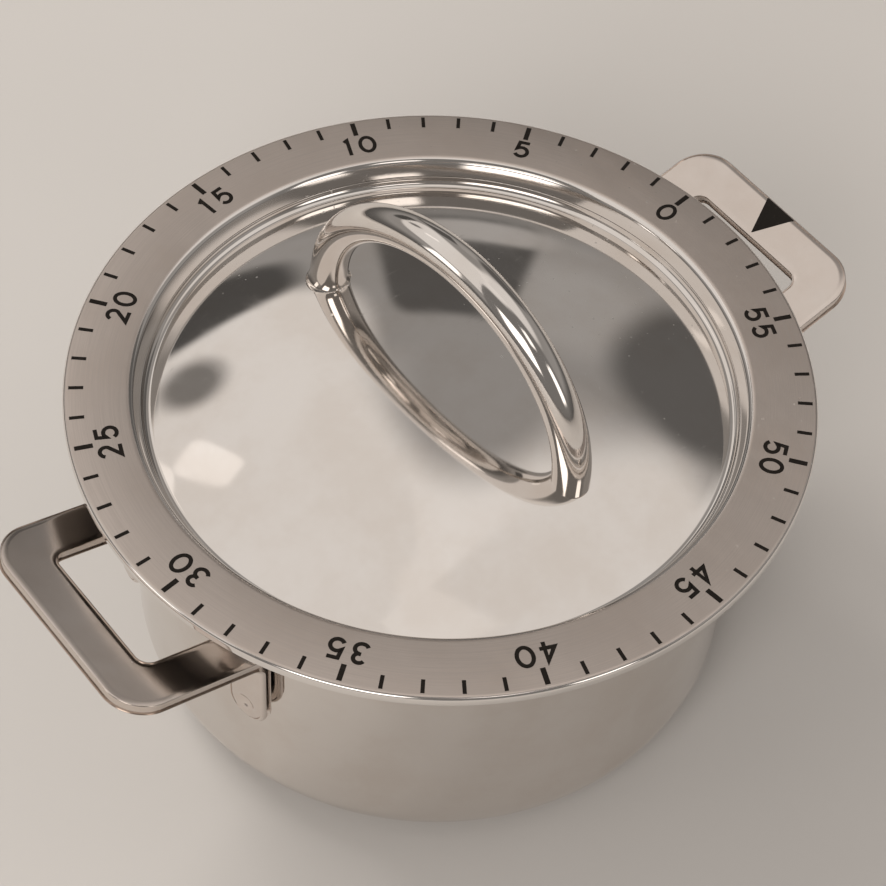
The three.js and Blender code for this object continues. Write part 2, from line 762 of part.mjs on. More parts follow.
place('lower_plate', lowerPlate(), zincSteel());
place('upper_plate', upperPlate(), zincSteel());
postsAt.forEach((point, k) => {
  const baseScrew = screw(2.0, 0.15, pot.floor - 0.05, posts.shank, 5.8, true);
  place(`base_screw_${k + 1}`, baseScrew, zincSteel(), point);
  place(`standoff_${k + 1}`, standoff(), zincSteel(), point);
  place(`pillar_${k + 1}`, pillar(), zincSteel(), point);
  const plateScrew = screw(2.0, upperTop + 0.05, upperTop + 1.15, posts.shank, plate.upper - 3.6, false);
  place(`plate_screw_${k + 1}`, plateScrew, zincSteel(), point);
});

place('arbor', mainArbor(), zincSteel());
place('main_wheel', mainWheel(), brass());
place('ratchet_wheel', ratchetWheel(), zincSteel());
place('click', clickPawl(), zincSteel());
place('click_spring', clickSpring(), springSteel());
place('mainspring', mainspring(), springSteel());
place('spring_post', springPost(), zincSteel(), springPostAt);

place('second_wheel', wheelDisc(second, starPivot + GAP), brass(), secondAt, secondTurn);
const { leaves: secondLeaves, module: secondModule } = train.main;
const secondPinion = pinionArbor(secondLeaves, secondModule, 13.6, 15.6, starPivot, starPivot, 10.2);
place('second_pinion', secondPinion, zincSteel(), secondAt, secondTurn);
place('star_wheel', starWheel(), zincSteel(), secondAt, secondTurn);
place('third_wheel', wheelDisc(third, arborRadius + GAP), brass(), thirdAt, thirdTurn);
const thirdPinion = pinionArbor(second.leaves, second.module, 15.8, 17.4, arborRadius, pivot, plate.lower);
place('third_pinion', thirdPinion, zincSteel(), thirdAt, thirdTurn);
place('escape_wheel', escapeWheel(), brass(), escapeAt, escapeTurn);
const escapePinion = pinionArbor(third.leaves, third.module, 18.0, 19.7, arborRadius, pivot, plate.lower);
place('escape_pinion', escapePinion, zincSteel(), escapeAt, escapeTurn);
place('pallet_lever', palletLever(), brass(), palletAt);
place('pallet_arbor', palletArbor(), zincSteel(), palletAt);

place('bell', bellDome(), polishedSteel());
place('bell_post', bellPost(), zincSteel());
place('bell_nut', bellNut(), zincSteel());
place('striker_arbor', strikerArbor(), zincSteel(), strikerAt);
place('striker_lever', strikerLever(), zincSteel());
place('striker_head', strikerHead(), brass(), headAt);
place('striker_spring', strikerSpring(), springSteel(), strikerAt);
place('alarm_cam', alarmCam(), blackPlastic());
place('cam_follower', camFollower(), zincSteel());

export default timer;
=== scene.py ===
import json
import math
import random

import bmesh
import bpy
from mathutils import Matrix, Vector


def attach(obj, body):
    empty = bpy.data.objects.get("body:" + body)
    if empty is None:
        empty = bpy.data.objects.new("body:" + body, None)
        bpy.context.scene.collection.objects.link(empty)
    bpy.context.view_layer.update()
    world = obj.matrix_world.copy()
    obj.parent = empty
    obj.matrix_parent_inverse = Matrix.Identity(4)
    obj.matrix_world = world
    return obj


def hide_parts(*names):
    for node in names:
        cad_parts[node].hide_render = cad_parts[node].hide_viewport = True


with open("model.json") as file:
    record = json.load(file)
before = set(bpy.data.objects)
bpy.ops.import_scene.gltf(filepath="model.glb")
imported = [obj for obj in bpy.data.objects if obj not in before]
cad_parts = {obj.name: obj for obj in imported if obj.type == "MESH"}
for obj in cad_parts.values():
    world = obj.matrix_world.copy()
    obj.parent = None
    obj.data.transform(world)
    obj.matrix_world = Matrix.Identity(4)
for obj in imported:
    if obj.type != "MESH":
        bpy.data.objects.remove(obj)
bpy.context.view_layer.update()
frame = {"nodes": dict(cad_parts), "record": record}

MM = 0.001
TURN = 2 * math.pi

# ---------------------------------------------------------------- sizes in millimetres, as in the CAD

ZERO_ANGLE = 7.54                 # degrees from +X to the zero mark
BEZEL_R, BEZEL_TOP, SKIRT, SHEET = 36.0, 36.0, 1.15, 0.6
RECESS_R, WALL_FOOT_R, WALL_FOOT_Z = 29.45, 28.75, 34.2
REBATE_R, SEAT_TOP, LIP_R = 29.15, 32.2, 26.6
LID_R, LID_EDGE, LID_RISE, LID_SHEET = 28.6, 33.0, 5.5, 0.8
LID_TURN_R, LID_CURL = 27.75, 0.7
KNOB_HALF, KNOB_RISE, KNOB_FOOT, KNOB_R, KNOB_PAST_ZERO = 16.65, 16.0, 37.25, 1.87, 88.4
KNOB_OFF_X, KNOB_OFF_Y = 0.3, -0.25
KNOB_SINK = 0.35                  # how far the ends of the bar reach into the lid
POT_R, POT_SHEET, POT_FLOOR, POT_CORNER = 30.2, 0.8, 1.0, 5.5
FLARE_Z, FLARE_R, FLARE_TURN = 30.2, 3.0, 50
PAD_IN, PAD_OUT, PAD_TOP = 13.0, 19.5, 0.98

fine = random.Random(7)


# ---------------------------------------------------------------- node materials

class Nodes:
    """Short ways to wire maths into a node tree."""

    def __init__(self, tree):
        self.nodes = tree.nodes
        self.links = tree.links

    def add(self, kind, inputs=(), out=0, **settings):
        node = self.nodes.new(kind)
        for key, value in settings.items():
            setattr(node, key, value)
        for key, value in dict(inputs).items():
            if isinstance(value, bpy.types.NodeSocket):
                self.links.new(value, node.inputs[key])
            else:
                node.inputs[key].default_value = value
        return node.outputs[out]

    def math(self, operation, a, b=0.0, c=0.0, clamp=False):
        return self.add("ShaderNodeMath", {0: a, 1: b, 2: c}, operation=operation, use_clamp=clamp)

    def vector(self, operation, a, b=(0, 0, 0), scale=1.0, out=0):
        return self.add("ShaderNodeVectorMath", {0: a, 1: b, 3: scale}, out=out, operation=operation)

    def ramp(self, value, low, high):
        """0 at low, 1 at high, smooth between."""
        return self.add("ShaderNodeMapRange", {0: value, 1: low, 2: high, 3: 0.0, 4: 1.0},
                        interpolation_type="SMOOTHSTEP")

    def noise(self, place, scale, detail=3.0, rough=0.55, stretch=None, turn=(0, 0, 0)):
        if stretch:
            place = self.add("ShaderNodeMapping", {0: place, 2: turn, 3: stretch})
        return self.add("ShaderNodeTexNoise",
                        {"Vector": place, "Scale": scale, "Detail": detail, "Roughness": rough})

    def mix(self, factor, a, b):
        node = self.nodes.new("ShaderNodeMix")
        node.data_type = "RGBA"
        for key, value in ((0, factor), (6, a), (7, b)):
            if isinstance(value, bpy.types.NodeSocket):
                self.links.new(value, node.inputs[key])
            else:
                node.inputs[key].default_value = value
        return node.outputs[2]


class Shader(Nodes):
    """A Principled material."""

    def __init__(self, name, **fixed):
        self.material = bpy.data.materials.new(name)
        self.material.use_nodes = True
        super().__init__(self.material.node_tree)
        self.bsdf = self.nodes["Principled BSDF"]
        for socket, value in fixed.items():
            self.bsdf.inputs[socket.replace("_", " ")].default_value = value

    def set(self, socket, value):
        self.links.new(value, self.bsdf.inputs[socket])

    def place(self):
        """The place on the piece, in millimetres."""
        point = self.add("ShaderNodeTexCoord", out=3)
        return self.vector("SCALE", point, scale=1000.0)

    def bump(self, height, depth_mm, strength=1.0, below=None):
        inputs = {"Height": height, "Distance": depth_mm * MM, "Strength": strength}
        if below is not None:
            inputs["Normal"] = below
        return self.add("ShaderNodeBump", inputs)

    def polar_place(self, place, across, along):
        """Coordinates that run in circles round Z: across is fine, along is slow, with no seam."""
        x = self.add("ShaderNodeSeparateXYZ", {0: place})
        flat = self.vector("MULTIPLY", place, (1, 1, 0))
        radius = self.vector("LENGTH", flat, out=1)
        unit = self.vector("NORMALIZE", flat)
        around = self.vector("SCALE", unit, scale=along)
        height = self.math("MULTIPLY", x.node.outputs[2], across)
        outward = self.math("MULTIPLY", radius, across)
        third = self.math("ADD", outward, height)
        lift = self.add("ShaderNodeCombineXYZ", {2: third})
        return self.vector("ADD", around, lift)

    def scratches(self, place, turns, size=0.28, thin=0.685):
        """Sparse hairlines, each set at its own angle."""
        total = None
        for k, turn in enumerate(turns):
            lie = (0.3 * k, 0.2 * k, math.radians(turn))
            lines = self.noise(place, size, 2.0, 0.5, (0.35, 14.0, 14.0), lie)
            found = self.ramp(lines, thin, thin + 0.05)
            total = found if total is None else self.math("MAXIMUM", total, found)
        return total

    def specks(self, place, scale, size, share, settled=False):
        """Small round grains in a share of the cells. Settled grains lie on what faces up."""
        cell = self.nodes.new("ShaderNodeTexVoronoi")
        cell.voronoi_dimensions = "2D" if settled else "3D"
        self.links.new(place, cell.inputs["Vector"])
        cell.inputs["Scale"].default_value = scale
        chance = self.add("ShaderNodeSeparateColor", {0: cell.outputs["Color"]})
        present = self.math("LESS_THAN", chance, share)
        reach = self.math("MULTIPLY", chance.node.outputs[1], size)
        inside = self.math("LESS_THAN", cell.outputs["Distance"], reach)
        return self.math("MULTIPLY", inside, present)


def darker(color, factors):
    return tuple(c * f for c, f in zip(color, factors)) + (1,)


def settled_dust(s, place, amount, side):
    """Specks of dust in drifts, most of them towards one side if side is a direction."""
    flat = side is not None
    fine_dust = s.specks(place, 1.1, 0.13, 0.16, flat)
    coarse_dust = s.specks(place, 0.42, 0.075, 0.2, flat)
    drift = s.ramp(s.noise(place, 0.07, 2.0), 0.38, 0.6)
    if flat:
        towards = s.vector("DOT_PRODUCT", place, side, out=1)
        drift = s.math("MULTIPLY", drift, s.ramp(towards, -14.0, 22.0))
    speck = s.math("MULTIPLY", s.math("MAXIMUM", fine_dust, coarse_dust), drift)
    return s.math("MULTIPLY", speck, amount, clamp=True)


def brush_lines(s, place, grain):
    """The lines left by brushing: in circles round Z, or straight along a stretch."""
    if grain == "round":
        s.set("Tangent", s.add("ShaderNodeTangent", direction_type="RADIAL", axis="Z"))
        return s.noise(s.polar_place(place, 9.0, 3.0), 1.0, 6.0, 0.75)
    return s.noise(place, 1.0, 6.0, 0.75, grain)


def brushed_top_only(s, place, flat_top, color, roughness):
    """Below its flat top the ring is polished in the recess and at the edge; at the back its underside is
    painted dark as shade, and made rougher.
    """
    height = s.add("ShaderNodeSeparateXYZ", {0: place}, out=2)
    radius = s.vector("LENGTH", s.vector("MULTIPLY", place, (1, 1, 0)), out=1)
    on_top = s.ramp(height, flat_top - 0.12, flat_top - 0.02)
    color = s.mix(on_top, (*WARM_STEEL, 1), color)
    roughness = s.math("MULTIPLY_ADD", s.math("SUBTRACT", roughness, POLISHED), on_top, POLISHED)
    # Painted shade: the underside of the flat top and the inside of the skirt are coloured near-black to
    # stand in for the shade beneath the ring.
    inward = s.math("LESS_THAN", radius, BEZEL_R - 0.3)
    outward = s.math("GREATER_THAN", radius, RECESS_R + 0.1)
    low = s.math("LESS_THAN", height, flat_top - 0.4)
    behind = s.math("MULTIPLY", low, s.math("MULTIPLY", inward, outward))
    color = s.mix(behind, color, (0.16, 0.14, 0.125, 1))
    return color, s.math("MAXIMUM", roughness, s.math("MULTIPLY", behind, 0.5))


def steel(name, color, rough, smudge=0.05, wave=0.0, dust=0.0, scratch_depth=0.0006, grain=None,
          dust_side=None, flat_top=None):
    """Polished or brushed sheet metal. grain is None, "round" or a stretch of the brush lines.

    dust_side is where the dust has settled most. Below flat_top the metal is polished, and behind it is
    painted dark as shade and made rougher.
    """
    s = Shader(name, Metallic=1.0, Anisotropic=0.0 if grain is None else 0.45)
    place = s.place()
    broad = s.noise(place, 0.11, 4.0, 0.6)
    wipe = s.noise(place, 0.35, 5.0, 0.65, (1.0, 0.35, 1.0), (0, 0, 0.6))
    tint = s.mix(s.ramp(broad, 0.35, 0.7), (*color, 1), darker(color, (0.94, 0.92, 0.9)))
    speck = settled_dust(s, place, dust, dust_side)
    hair = s.scratches(place, (18, 77, 131), 0.2, 0.72)
    roughness = s.math("MULTIPLY_ADD", s.ramp(wipe, 0.42, 0.75), smudge, rough)
    roughness = s.math("MULTIPLY_ADD", hair, 0.06, roughness)
    roughness = s.math("MULTIPLY_ADD", speck, 0.5, roughness, clamp=True)
    color_out = s.mix(s.math("MULTIPLY", speck, 0.8), tint, DUST_COLOR)
    normal = None
    if grain is not None:
        lines = brush_lines(s, place, grain)
        color_out = s.mix(s.ramp(lines, 0.38, 0.66), color_out, darker(color, (0.91, 0.91, 0.91)))
        roughness = s.math("MULTIPLY_ADD", s.ramp(lines, 0.4, 0.7), 0.08, roughness, clamp=True)
        normal = s.bump(lines, 0.003, 0.6)
    # A flat top is brushed on top and polished below, and its underside carries painted shade.
    if flat_top is not None:
        color_out, roughness = brushed_top_only(s, place, flat_top, color_out, roughness)
    if wave:
        normal = s.bump(s.noise(place, 0.16, 2.0, 0.4), wave, 1.0, normal)
    normal = s.bump(hair, scratch_depth, 1.0, normal)
    s.set("Base Color", color_out)
    s.set("Roughness", roughness)
    s.set("Normal", normal)
    return s.material


def moulded(name, color, rough, grain_mm, depth=0.02):
    """Moulded plastic or rubber with a fine pebbled grain, mould flow and handling marks."""
    s = Shader(name)
    place = s.place()
    pebble = s.noise(place, 1.0 / grain_mm, 4.0, 0.7)
    flow = s.noise(place, 0.15, 3.0, 0.5)
    lighter = tuple(1.7 * c + 0.01 for c in color) + (1,)
    s.set("Base Color", s.mix(s.ramp(flow, 0.35, 0.75), (*color, 1), lighter))
    s.set("Roughness", s.math("MULTIPLY_ADD", s.ramp(pebble, 0.3, 0.7), 0.18, rough))
    s.set("Normal", s.bump(s.scratches(place, (40, 110)), 0.002, 1.0, s.bump(pebble, depth)))
    return s.material


def ink(name):
    """Baked dark filling of the etched marks: slightly uneven, worn thin in places."""
    s = Shader(name, Specular_IOR_Level=0.18)
    place = s.place()
    wear = s.noise(place, 2.4, 5.0, 0.7)
    s.set("Base Color", s.mix(s.ramp(wear, 0.55, 0.8), (0.008, 0.006, 0.0045, 1), (0.03, 0.024, 0.02, 1)))
    s.set("Roughness", s.math("MULTIPLY_ADD", wear, 0.3, 0.4))
    s.set("Normal", s.bump(wear, 0.01))
    return s.material


WARM_STEEL = (0.80, 0.765, 0.735)
CUP_STEEL = (0.73, 0.69, 0.655)
SATIN_STEEL = (0.72, 0.655, 0.61)
RING_STEEL = (0.68, 0.605, 0.555)
DUST_COLOR = (0.82, 0.8, 0.77, 1)
DUSTY = (0.75, 0.45, 0.0)         # the side of the lid where the dust lies
POLISHED = 0.06                   # roughness of the bezel's polished parts
materials = {
    "polished": steel("polished_steel", WARM_STEEL, rough=0.05, smudge=0.04, wave=0.004, dust=0.9,
                      scratch_depth=0.0002, dust_side=DUSTY),
    "knob": steel("polished_bar", WARM_STEEL, rough=0.07, wave=0.006, dust=0.2, scratch_depth=0.0003),
    "handle": steel("satin_plate", SATIN_STEEL, rough=0.17, smudge=0.07, wave=0.004, dust=0.2,
                    scratch_depth=0.0),
    "pot": steel("polished_cup", CUP_STEEL, rough=0.05, wave=0.008, dust=0.3, scratch_depth=0.0003),
    "bezel": steel("brushed_ring", RING_STEEL, rough=0.36, smudge=0.08, dust=1.0, grain="round",
                   dust_side=(1, 0, 0), flat_top=BEZEL_TOP),
    "zinc": steel("zinc_plate", (0.62, 0.63, 0.61), rough=0.3, smudge=0.12, grain=(0.4, 9.0, 9.0)),
    "brass": steel("brass_sheet", (0.72, 0.55, 0.27), rough=0.24, smudge=0.12, grain=(9.0, 0.5, 9.0)),
    "spring": steel("blued_steel", (0.16, 0.19, 0.27), rough=0.22, smudge=0.1, grain=(0.4, 9.0, 9.0)),
    "plastic": moulded("black_plastic", (0.018, 0.018, 0.02), 0.42, 0.35),
    "rubber": moulded("black_rubber", (0.014, 0.014, 0.014), 0.6, 0.25, 0.03),
    "ink": ink("mark_ink"),
}

SLOT_MATERIAL = {
    "polished_steel": "pot", "brushed_steel": "bezel", "zinc_steel": "zinc", "brass": "brass",
    "spring_steel": "spring", "black_plastic": "plastic", "black_rubber": "rubber",
}

for part in frame["record"]["subparts"]:
    node = frame["nodes"][part["node"]]
    node.data.materials.clear()
    node.data.materials.append(materials[SLOT_MATERIAL[part["material_slot"]]])


# ---------------------------------------------------------------- mesh helpers, in millimetres

def piece(name, points, faces, body, slot, material, replaces=(), sharp=35, weld=0.0):
    mesh = bpy.data.meshes.new(name)
    mesh.from_pydata([[c * MM for c in p] for p in points], [], faces)
    work = bmesh.new()
    work.from_mesh(mesh)
    if weld:
        bmesh.ops.remove_doubles(work, verts=work.verts, dist=weld * MM)
    bmesh.ops.recalc_face_normals(work, faces=work.faces)
    work.to_mesh(mesh)
    work.free()
    mesh.polygons.foreach_set("use_smooth", [True] * len(mesh.polygons))
    mesh.set_sharp_from_angle(angle=math.radians(sharp))
    mesh.materials.append(materials[material])
    obj = bpy.data.objects.new(name, mesh)
    bpy.context.scene.collection.objects.link(obj)
    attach(obj, body)
    if replaces:
        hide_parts(*replaces)
    return obj


def rounded(corners, closed=True, step=11):
    """The outline through (x, y, fillet radius) corners, with each corner rounded."""
    outline = []
    for k, (x, y, radius) in enumerate(corners):
        here = Vector((x, y))
        if radius == 0 or (not closed and k in (0, len(corners) - 1)):
            outline.append((x, y))
            continue
        back = (Vector(corners[k - 1][:2]) - here).normalized()
        on = (Vector(corners[(k + 1) % len(corners)][:2]) - here).normalized()
        half = back.angle(on) / 2
        centre = here + (back + on).normalized() * radius / math.sin(half)
        start = here + back * radius / math.tan(half) - centre
        end = here + on * radius / math.tan(half) - centre
        first = math.atan2(start.y, start.x)
        sweep = (math.atan2(end.y, end.x) - first + math.pi) % TURN - math.pi
        steps = max(2, math.ceil(abs(math.degrees(sweep)) / step))
        for n in range(steps + 1):
            angle = first + sweep * n / steps
            outline.append((centre.x + radius * math.cos(angle), centre.y + radius * math.sin(angle)))
    return outline


def arc(centre_r, centre_z, radius, start, end, steps):
    angles = [math.radians(start + (end - start) * k / steps) for k in range(steps + 1)]
    return [(centre_r + radius * math.cos(a), centre_z + radius * math.sin(a)) for a in angles]


def lathe(outline, segments=240, closed=True):
    """Turns (radius, height) points about Z. Points on the axis become one vertex each."""
    points, rings, faces = [], [], []
    for radius, height in outline:
        if radius < 1e-6:
            rings.append([len(points)])
            points.append((0, 0, height))
            continue
        rings.append(list(range(len(points), len(points) + segments)))
        for k in range(segments):
            angle = TURN * k / segments
            points.append((radius * math.cos(angle), radius * math.sin(angle), height))
    pairs = list(zip(rings, rings[1:] + rings[:1]))
    for lower, upper in pairs if closed else pairs[:-1]:
        for k in range(segments):
            m = (k + 1) % segments
            corners = [lower[k % len(lower)], lower[m % len(lower)],
                       upper[m % len(upper)], upper[k % len(upper)]]
            corners = [c for n, c in enumerate(corners) if c != corners[n - 1]]
            if len(corners) > 2:
                faces.append(corners)
    return points, faces


def turned(points, degrees, x=0.0, y=0.0, z=0.0):
    """Points turned about Z, then shifted."""
    c, s = math.cos(math.radians(degrees)), math.sin(math.radians(degrees))
    return [(c * p[0] - s * p[1] + x, s * p[0] + c * p[1] + y, p[2] + z) for p in points]


def tube(path, radii, sides):
    """A round bar along a path in the XZ plane, closed at both ends."""
    points, faces = [], []
    for k, (x, z) in enumerate(path):
        ahead, behind = path[min(k + 1, len(path) - 1)], path[max(k - 1, 0)]
        along = Vector((ahead[0] - behind[0], ahead[1] - behind[1])).normalized()
        for n in range(sides):
            angle = TURN * n / sides
            out, side = radii[k] * math.cos(angle), radii[k] * math.sin(angle)
            points.append((x - along.y * out, side, z + along.x * out))
    for k in range(len(path) - 1):
        for n in range(sides):
            m = (n + 1) % sides
            a, b = k * sides, (k + 1) * sides
            faces.append((a + n, a + m, b + m, b + n))
    faces.append(tuple(range(sides)))
    faces.append(tuple(range(len(points) - sides, len(points))))
    return points, faces


def ribbon(path, half, bottom, top, closed=False):
    """A flat stroke of even width along a 2D path, as a closed prism with mitred corners."""
    count = len(path)
    left, right = [], []
    for k, point in enumerate(path):
        here = Vector(point)
        into = here - Vector(path[k - 1]) if closed or k else Vector(path[1]) - here
        out = Vector(path[(k + 1) % count]) - here if closed or k < count - 1 else into
        into, out = into.normalized(), out.normalized()
        normal = Vector((-(into.y + out.y), into.x + out.x)).normalized()
        reach = half / max(0.35, normal.dot(Vector((-into.y, into.x))))
        left.append(here + normal * reach)
        right.append(here - normal * reach)
    points = [(p.x, p.y, z) for z in (bottom, top) for side in (left, right) for p in side]
    faces = []
    spans = range(count if closed else count - 1)
    for k in spans:
        m = (k + 1) % count
        bl, br, tl, tr = 0, count, 2 * count, 3 * count
        faces += [(tl + k, tl + m, tr + m, tr + k), (bl + k, br + k, br + m, bl + m),
                  (bl + k, bl + m, tl + m, tl + k), (br + k, tr + k, tr + m, br + m)]
    if not closed:
        for k in (0, count - 1):
            faces.append((k, count + k, 3 * count + k, 2 * count + k))
    return points, faces


def gather(parts):
    """Several (points, faces) meshes as one."""
    points, faces = [], []
    for some_points, some_faces in parts:
        base = len(points)
        points += some_points
        faces += [tuple(base + n for n in face) for face in some_faces]
    return points, faces


# ---------------------------------------------------------------- dial: bezel, marks and numerals

bezel_outline = rounded([
    (BEZEL_R, BEZEL_TOP - SKIRT, 0.2),
    (BEZEL_R, BEZEL_TOP, 0.45),
    (RECESS_R, BEZEL_TOP, 0.9),
    (WALL_FOOT_R, WALL_FOOT_Z, 0.04),
    (REBATE_R, WALL_FOOT_Z, 0.05),
    (REBATE_R, SEAT_TOP, 0.15),
    (LIP_R, SEAT_TOP, 0.25),
    (LIP_R, SEAT_TOP - SHEET, 0.25),
    (REBATE_R + SHEET, SEAT_TOP - SHEET, 0.5),
    (REBATE_R + SHEET, WALL_FOOT_Z, 0.2),
    (RECESS_R + SHEET, BEZEL_TOP - SHEET, 0.4),
    (BEZEL_R - SHEET, BEZEL_TOP - SHEET, 0.3),
    (BEZEL_R - SHEET, BEZEL_TOP - SKIRT, 0.2),
])
piece("bezel", *lathe(bezel_outline, 288), "dial", "brushed_steel", "bezel", ["bezel_ring"])

MARK_TOP, MARK_BOTTOM = BEZEL_TOP + 0.02, BEZEL_TOP - 0.05
MARK_OUTER, MAJOR_INNER, MINOR_INNER = 35.42, 33.66, 34.0
MAJOR_HALF, MINOR_HALF = 0.25, 0.185

marks = []
for minute in range(60):
    major = minute % 5 == 0
    span = [(MAJOR_INNER if major else MINOR_INNER, 0.0), (MARK_OUTER, 0.0)]
    points, faces = ribbon(span, MAJOR_HALF if major else MINOR_HALF, MARK_BOTTOM, MARK_TOP)
    marks.append((turned(points, ZERO_ANGLE + 6 * minute), faces))
piece("dial_marks", *gather(marks), "dial", "brushed_steel", "ink")

STROKE = 0.195                    # half the width of a numeral's stroke
STROKE_STEP = 0.004               # where strokes cross, the second lies this much lower


def bow(cx, cy, rx, ry, start, end, steps=20):
    angles = [math.radians(start + (end - start) * k / steps) for k in range(steps + 1)]
    return [(cx + rx * math.cos(a), cy + ry * math.sin(a)) for a in angles]


DIGITS = {
    "0": [bow(0, 0, 0.73, 1.0, 0, 351, 39)],
    "1": [[(-0.3, 0.74), (0.07, 0.98), (0.07, -1.17)]],
    "2": [bow(0.0, 0.42, 0.56, 0.58, 165, -28, 18) + [(-0.55, -0.99), (0.68, -0.99)]],
    "3": [bow(0.0, 0.5, 0.52, 0.5, 152, -84, 19), bow(0.0, -0.5, 0.62, 0.56, 97, -152, 21)],
    "4": [[(0.3, -1.17), (0.3, 0.88), (-0.62, -0.5), (0.12, -0.5)], [(0.48, -0.5), (0.78, -0.5)]],
    "5": [[(0.62, 0.98), (-0.4, 0.98), (-0.5, 0.06)] + bow(-0.02, -0.36, 0.64, 0.63, 118, -150, 22)],
}
NUMERAL_R = 32.2
DIGIT_GAP = {"10": (-1.2, 0.82), "15": (-1.05, 1.08)}

numerals = []
for minute in range(0, 60, 5):
    text = str(minute)
    places = (0.0,) if len(text) == 1 else DIGIT_GAP.get(text, (-1.06, 1.16))
    for letter, shift in zip(text, places):
        for layer, path in enumerate(DIGITS[letter]):
            top = MARK_TOP - STROKE_STEP * layer
            points, faces = ribbon(path, STROKE, MARK_BOTTOM, top, closed=letter == "0")
            upright = [(y + NUMERAL_R, -x - shift, z) for x, y, z in points]
            numerals.append((turned(upright, ZERO_ANGLE + 6 * minute), faces))
piece("dial_numerals", *gather(numerals), "dial", "brushed_steel", "ink")

# ---------------------------------------------------------------- dial: lid and knob

LID_SPHERE = (LID_R ** 2 + LID_RISE ** 2) / (2 * LID_RISE)
LID_UNDER_R = 26.2                # where the sheet of the dome meets its seat
LID_GAP = 0.06                    # clearance of the lid in its rebate
DOME_STEPS, UNDER_STEPS = 34, 20


def dome(radius):
    return LID_EDGE + LID_RISE - LID_SPHERE + math.sqrt(LID_SPHERE ** 2 - radius ** 2)


def lid_profile():
    """From the middle of the dome out, through the curl at its edge, and back under it."""
    fall = math.asin(LID_TURN_R / LID_SPHERE)
    curl_r = LID_TURN_R + LID_CURL * math.sin(fall)
    curl_z = dome(LID_TURN_R) + LID_CURL * math.cos(fall)
    lip_r, lip_z = curl_r + LID_CURL, WALL_FOOT_Z - 0.04
    spokes = [LID_TURN_R * k / DOME_STEPS for k in range(DOME_STEPS)]
    outline = [(r, dome(r)) for r in spokes]
    outline += arc(curl_r, curl_z, LID_CURL, -90 - math.degrees(fall), 0, 14)
    outline += rounded([
        (lip_r, curl_z, 0), (lip_r, lip_z, 0.03), (REBATE_R - LID_GAP, lip_z, 0.05),
        (REBATE_R - LID_GAP, SEAT_TOP + 0.02, 0.15), (LIP_R + 0.5, SEAT_TOP + 0.02, 0.15),
        (LID_UNDER_R, dome(LID_UNDER_R) - LID_SHEET, 0),
    ], closed=False)[1:]
    inward = [LID_UNDER_R * k / UNDER_STEPS for k in reversed(range(UNDER_STEPS))]
    return outline + [(r, dome(r) - LID_SHEET) for r in inward]


piece("domed_lid", *lathe(lid_profile(), 240, closed=False), "dial", "polished_steel", "polished", ["lid"])

FOOT_STEPS, ARCH_STEPS = 8, 96
foot_z = dome(KNOB_HALF) - KNOB_SINK
rising = [foot_z + (KNOB_FOOT - foot_z) * k / FOOT_STEPS for k in range(FOOT_STEPS)]
arch_angles = [math.pi * k / ARCH_STEPS for k in range(ARCH_STEPS + 1)]
path = [(-KNOB_HALF, z) for z in rising]
path += [(-KNOB_HALF * math.cos(a), KNOB_FOOT + KNOB_RISE * math.sin(a)) for a in arch_angles]
path += [(KNOB_HALF, z) for z in reversed(rising)]

WELD_FLARE, WELD_REACH = 0.42, 0.55


def bar_radius(z, side):
    """The bar swells where one foot is fused to the lid."""
    above = max(0.0, z - dome(KNOB_HALF))
    flare = WELD_FLARE if side > 0 else 0.0
    return KNOB_R + flare * math.exp(-(above / WELD_REACH) ** 1.3)


radii = [bar_radius(z, x) for x, z in path]
knob_angle = ZERO_ANGLE + KNOB_PAST_ZERO
points, faces = tube(path, radii, 48)
bar_points = turned(points, knob_angle, KNOB_OFF_X, KNOB_OFF_Y)
piece("knob_bar", bar_points, faces, "dial", "polished_steel", "knob", ["knob"])

# Beads of weld round each foot: side, how many, how far outside the bar, smallest and largest radius.
WELD_BEADS = ((-1, 9, -0.02, 0.02, 0.035), (1, 26, 0.36, 0.05, 0.13))
beads = []
for side, count, outside, small, large in WELD_BEADS:
    for k in range(count):
        angle = TURN * (k + fine.uniform(-0.3, 0.3)) / count
        ring_r = KNOB_R + outside
        size = fine.uniform(small, large)
        x, y = side * KNOB_HALF + ring_r * math.cos(angle), ring_r * math.sin(angle)
        centre = dome(math.hypot(x, y)) + 0.25 * size
        outline = arc(0.0, 0.0, size, -90, 86, 8)
        outline[0], outline[-1] = (0.0, -size), (0.0, size)
        points, faces = lathe(outline, 10, closed=False)
        beads.append((turned(points, 0, x, y, centre), faces))
points, faces = gather(beads)
points = turned(points, knob_angle, KNOB_OFF_X, KNOB_OFF_Y)
piece("knob_weld", points, faces, "dial", "polished_steel", "knob")

# ---------------------------------------------------------------- pot and its rubber ring

flare_centre = POT_R + FLARE_R
pot_outline = (
    [(r, POT_FLOOR) for r in (0.0, 6.0, 12.0, 18.0, 22.0)]
    + arc(POT_R - POT_CORNER, POT_FLOOR + POT_CORNER, POT_CORNER, -90, 0, 18)
    + [(POT_R, 12.0), (POT_R, 20.0), (POT_R, 27.0)]
    + arc(flare_centre, FLARE_Z, FLARE_R, 180, 180 - FLARE_TURN, 10)
)
rim_angle = math.radians(180 - FLARE_TURN)
rim_reach = FLARE_R + POT_SHEET / 2
rim_r = flare_centre + rim_reach * math.cos(rim_angle)
rim_z = FLARE_Z + rim_reach * math.sin(rim_angle)
edge_start = 360 - FLARE_TURN
pot_outline += arc(rim_r, rim_z, POT_SHEET / 2, edge_start, edge_start - 180, 8)[1:-1]
pot_outline += (
    arc(flare_centre, FLARE_Z, FLARE_R + POT_SHEET, 180 - FLARE_TURN, 180, 10)
    + [(POT_R - POT_SHEET, 20.0)]
    + arc(POT_R - POT_CORNER, POT_FLOOR + POT_CORNER, POT_CORNER - POT_SHEET, 0, -90, 12)
    + [(0.0, POT_FLOOR + POT_SHEET)]
)
piece("pot_cup", *lathe(pot_outline, 288, closed=False), "case", "polished_steel", "pot", ["pot_shell"])

